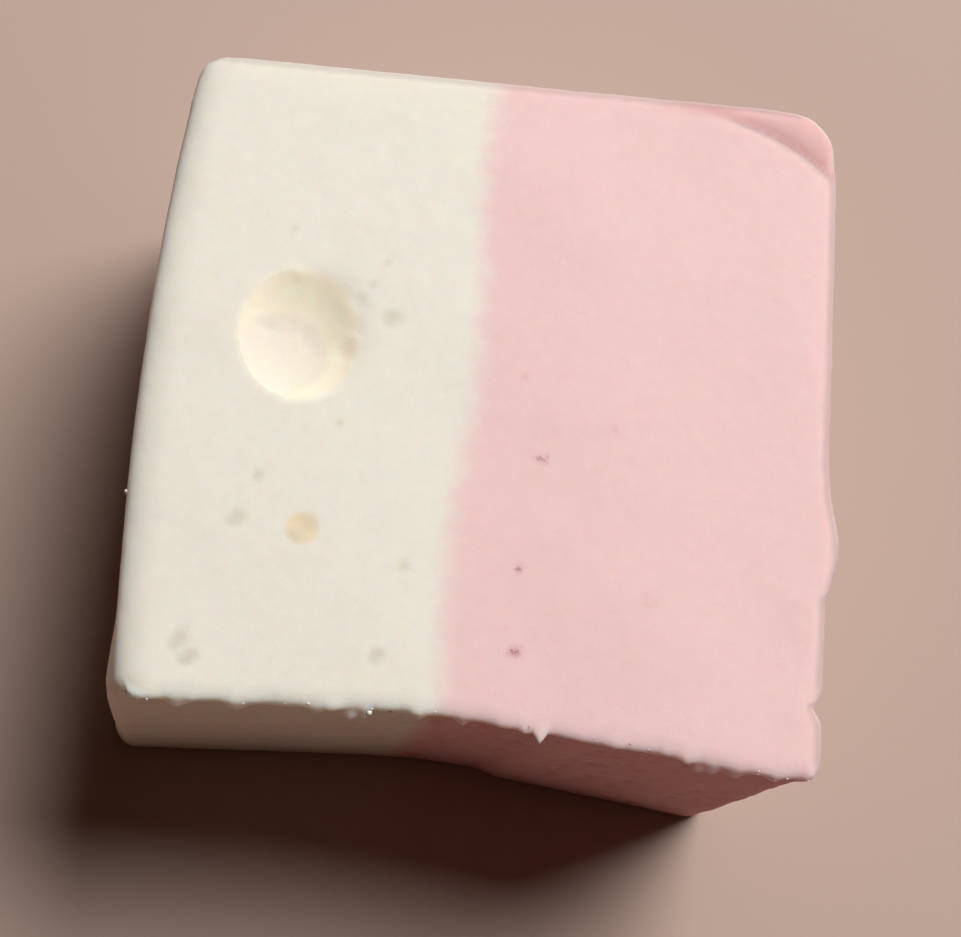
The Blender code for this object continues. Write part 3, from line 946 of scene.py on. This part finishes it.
def foam_material(name, light_reach):
    """Sugar foam that lets the light in as far as the reach."""
    material = bpy.data.materials.new(name)
    material.use_nodes = True
    tree = material.node_tree
    shader = tree.nodes["Principled BSDF"]
    place = tree.nodes.new("ShaderNodeTexCoord").outputs["Object"]
    colours = use_group(
        tree, two_colours, Place=place, White=WHITE_FOAM, Pink=PINK_FOAM, Width=JOIN_WIDTH,
        Ragged=JOIN_RAGS,
    )
    cut_shade_tint = mix(tree, colours["Pinkness"], WHITE_CUT_SHADE_TINT, PINK_CUT_SHADE_TINT)
    starch = use_group(tree, foam_surface, Place=place, Mottle=MOTTLE, Grain=GRAIN)
    colour = mix(tree, 1.0, colours["Color"], starch["Tone"], "MULTIPLY")
    for share, tint in (
        (mark(tree, "hollow"), BUBBLE_LIGHT_AND_CREAM_TINT),
        (mark(tree, "patch"), PATCH_SHADE_TINT),
        (mark(tree, "cream"), CREAM_AND_SHADE_TINT),
        (mark(tree, "pit"), PIT_SHADE_TINT),
        (mark(tree, "crease"), CREASE_SHADE_TINT),
        (mark(tree, "rim"), RIM_SHADE_TINT),
        (mark(tree, "cut"), cut_shade_tint),
        (dye_stain(tree, place), DYE_TINT),
    ):
        colour = mix(tree, share, colour, mix(tree, 1.0, colour, tint, "MULTIPLY"))
    feed(tree, shader.inputs["Base Color"], colour)
    feed(tree, shader.inputs["Roughness"], starch["Roughness"])
    bump = tree.nodes.new("ShaderNodeBump")
    feed(tree, bump.inputs["Distance"], GRAIN_HEIGHT)
    feed(tree, bump.inputs["Height"], starch["Height"])
    feed(tree, shader.inputs["Normal"], bump.outputs[0])
    shader.inputs["Specular IOR Level"].default_value = DULL_SHINE
    shader.inputs["Subsurface Weight"].default_value = 1.0
    shader.inputs["Subsurface Radius"].default_value = SCATTER
    shader.inputs["Subsurface Scale"].default_value = light_reach
    print(name, "has", len(tree.nodes), "nodes")
    return material


marshmallow_skin.data.materials.append(foam_material("sugar_foam", FOAM_SOFTNESS))

# %% [markdown]
# ## Crumbs on the torn edge
#
# Loose crumbs cling to the torn edge and stand out as bright flecks. Each one is an icosphere of
# 80 faces, squeezed and roughened, and placed on one of the edge's own points. A seeded draw gives
# the same crumbs on each run. Two larger ones are listed, one of them on the left edge.
# Geometry Nodes could scatter the crumbs too, but a loop is shorter.

# %% Scatter the crumbs
CRUMBS = 90
CRUMB_SIZE = (0.03 * MM, 0.08 * MM)
CRUMB_SOFTNESS = 0.08 * MM
CRUMB_STRETCH = (0.7, 1.3)
CRUMB_HEIGHT = (0.7, 1.1)
CRUMB_ROUGH = 0.35
CRUMB_LUMPS = 1.1
CRUMB_APART = 7.0
# Place and size of the two that are large enough to be told apart
LARGE_CRUMBS = (
    (Vector((-20.42, -9.09, 24.1)) * MM, 0.18 * MM),
    (Vector((-5.75, -20.0, 24.7)) * MM, 0.22 * MM),
)
draw = random.Random(11)


def add_crumb(shape, centre, size, flat=1.0):
    """One rough lump of 80 faces, lower where flat is less than 1."""
    lump = bmesh.ops.create_icosphere(shape, subdivisions=2, radius=size)["verts"]
    wide, deep = draw.uniform(*CRUMB_STRETCH), draw.uniform(*CRUMB_STRETCH)
    tall = draw.uniform(*CRUMB_HEIGHT) * flat
    bmesh.ops.scale(shape, vec=Vector((wide, deep, tall)), verts=lump)
    for corner in lump:
        rough = noise.noise((corner.co / size + centre / MM * CRUMB_APART) * CRUMB_LUMPS)
        corner.co *= 1.0 + CRUMB_ROUGH * rough
    turned = Matrix.Rotation(draw.uniform(0.0, math.tau), 3, "Z")
    bmesh.ops.rotate(shape, matrix=turned, verts=lump)
    bmesh.ops.translate(shape, vec=centre, verts=lump)


crumbs = bmesh.new()
for spot in draw.sample(edge_spots, CRUMBS):
    small, large = CRUMB_SIZE
    size = small + (large - small) * draw.random() ** 2
    add_crumb(crumbs, spot, size)
for spot, size in LARGE_CRUMBS:
    on_skin = surface.find_nearest(spot)[0]
    add_crumb(crumbs, on_skin, size)
print("crumbs:", CRUMBS + len(LARGE_CRUMBS), "with", len(crumbs.faces), "faces")
edge_crumbs = object_from("edge_crumbs", crumbs, foam_material("crumb_foam", CRUMB_SOFTNESS))

# %% [markdown]
# ## The grains of dye
#
# Where a grain of dye shows, it is a small flake of deeper pink, half sunk in the foam. Painted
# dots would look like print, so each of the strong stains gets a few flattened lumps, scattered
# over its middle by the same draw as the crumbs.

# %% Flakes of dye
# Place, reach, how many lumps
DYE_FLAKES = (
    (2.62 * MM, -4.10 * MM, 0.24 * MM, 7),
    (1.86 * MM, -10.86 * MM, 0.12 * MM, 3),
    (2.02 * MM, -15.68 * MM, 0.30 * MM, 10),
)
FLAKE_SIZE = 0.055 * MM
FLAKE_SIZES = (0.6, 1.2)
FLAKE_FLAT = 0.5
DYE_DEEP = (0.58, 0.29, 0.32, 1.0)
DYE_PALE = (0.74, 0.44, 0.46, 1.0)
DYE_SCALE = 4.0 * PER_MM
DYE_ROUGHNESS = (0.3, 0.7, 0.6, 0.8)

dyed = bpy.data.materials.new("dye_grain")
dyed.use_nodes = True
tree = dyed.node_tree
shader = tree.nodes["Principled BSDF"]
place = tree.nodes.new("ShaderNodeTexCoord").outputs["Object"]
spread = speckle(tree, place, DYE_SCALE)
feed(tree, shader.inputs["Base Color"], mix(tree, spread, DYE_DEEP, DYE_PALE))
feed(tree, shader.inputs["Roughness"], remap(tree, spread, *DYE_ROUGHNESS))

flakes = bmesh.new()
for x, y, reach, lumps in DYE_FLAKES:
    for _ in range(lumps):
        along, aside = draw.uniform(-reach, reach), draw.uniform(-reach, reach) / 2
        spot = Vector((x + along, y + aside, HEIGHT))
        on_skin = surface.find_nearest(spot)[0]
        add_crumb(flakes, on_skin, FLAKE_SIZE * draw.uniform(*FLAKE_SIZES), FLAKE_FLAT)
dye_flakes = object_from("dye_flakes", flakes, dyed)
print("flakes of dye:", sum(lumps for _, _, _, lumps in DYE_FLAKES))

# %% [markdown]
# ## The pieces ride on the body
#
# The skin stands for both packed halves, which stay hidden for the weight and the collision. All
# pieces ride on the one body.

# %% Ride on the body
for piece, slot in (
    (marshmallow_skin, "white_mallow"),
    (edge_crumbs, "white_mallow"),
    (dye_flakes, "pink_mallow"),
):
    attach(piece, "root")
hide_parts("white_half", "pink_half")
print("pieces:", marshmallow_skin.name, edge_crumbs.name, dye_flakes.name)

# %% [markdown]
# ## A plain floor
#
# The floor is one large plane in a pale, warm tone. Its colour matters for the marshmallow too,
# since the light that it sends back is most of what the shaded front gets.

# %% The floor
FLOOR_HALF = 1.5
FLOOR_COLOUR = (0.50, 0.375, 0.32, 1.0)
FLOOR_ROUGHNESS = 0.9

ground = bmesh.new()
bmesh.ops.create_grid(ground, x_segments=1, y_segments=1, size=FLOOR_HALF)
floor_paint = bpy.data.materials.new("floor_paint")
floor_paint.use_nodes = True
floor_shader = floor_paint.node_tree.nodes["Principled BSDF"]
floor_shader.inputs["Base Color"].default_value = FLOOR_COLOUR
floor_shader.inputs["Roughness"].default_value = FLOOR_ROUGHNESS
floor_shader.inputs["Specular IOR Level"].default_value = DULL_SHINE
floor = object_from("floor", ground, floor_paint)
print("floor:", 2 * FLOOR_HALF, "m wide")

# %% [markdown]
# ## Soft light from the back right
#
# One large soft lamp stands high behind the sweet, to the right, so the top is bright, the cut is
# in shade and the shadow falls to the front left with a wide soft edge. A faint warm world fills
# the shade in.

# %% Lamp and world
LAMP_TURN = math.radians(36.0)
LAMP_FROM_ZENITH = math.radians(34.0)
LAMP_DISTANCE = 0.8
LAMP_SIZE = 0.52
LAMP_POWER = 8.0
LAMP_COLOUR = (1.0, 0.985, 0.96)
FILL_COLOUR = (1.0, 0.50, 0.36, 1.0)
FILL_STRENGTH = 0.035

lamp_toward = Vector((
    math.sin(LAMP_FROM_ZENITH) * math.sin(LAMP_TURN),
    math.sin(LAMP_FROM_ZENITH) * math.cos(LAMP_TURN),
    math.cos(LAMP_FROM_ZENITH),
))
lamp_data = bpy.data.lights.new("window", "AREA")
lamp_data.shape = "DISK"
lamp_data.size = LAMP_SIZE
lamp_data.energy = LAMP_POWER
lamp_data.color = LAMP_COLOUR
lamp = bpy.data.objects.new("window", lamp_data)
lamp.location = lamp_toward * LAMP_DISTANCE
lamp.rotation_euler = lamp_toward.to_track_quat("Z", "Y").to_euler()
bpy.context.scene.collection.objects.link(lamp)

world = bpy.data.worlds.new("studio")
world.use_nodes = True
background = world.node_tree.nodes["Background"]
background.inputs["Color"].default_value = FILL_COLOUR
background.inputs["Strength"].default_value = FILL_STRENGTH
bpy.context.scene.world = world
bpy.context.scene.view_settings.view_transform = "Standard"
print("lamp at", [round(v, 3) for v in lamp.location])

# %% [markdown]
# ## The photograph's view
#
# The camera looks steeply down from the front left, and it is turned about its own axis, as a hand
# holds it. Its place was fitted to the corners of the block, so it is given as measured.

# %% The camera
CAMERA_PLACE = Vector((-12.86, -34.65, 115.45)) * MM
CAMERA_AIM = Vector((2.398, 2.965, 0.0)) * MM
CAMERA_TURN = math.radians(28.779)
CAMERA_LENS = 61.81
CAMERA_SENSOR = 36.0
NEAREST = 0.005

camera_data = bpy.data.cameras.new("camera")
camera_data.lens = CAMERA_LENS
camera_data.sensor_width = CAMERA_SENSOR
camera_data.clip_start = NEAREST
camera = bpy.data.objects.new("camera", camera_data)
look = (CAMERA_AIM - CAMERA_PLACE).to_track_quat("-Z", "Y").to_matrix().to_4x4()
turned = Matrix.Rotation(CAMERA_TURN, 4, "Z")
camera.matrix_world = Matrix.Translation(CAMERA_PLACE) @ look @ turned
bpy.context.scene.collection.objects.link(camera)
bpy.context.scene.camera = camera
print("camera distance:", round((CAMERA_AIM - CAMERA_PLACE).length / MM, 1), "mm")
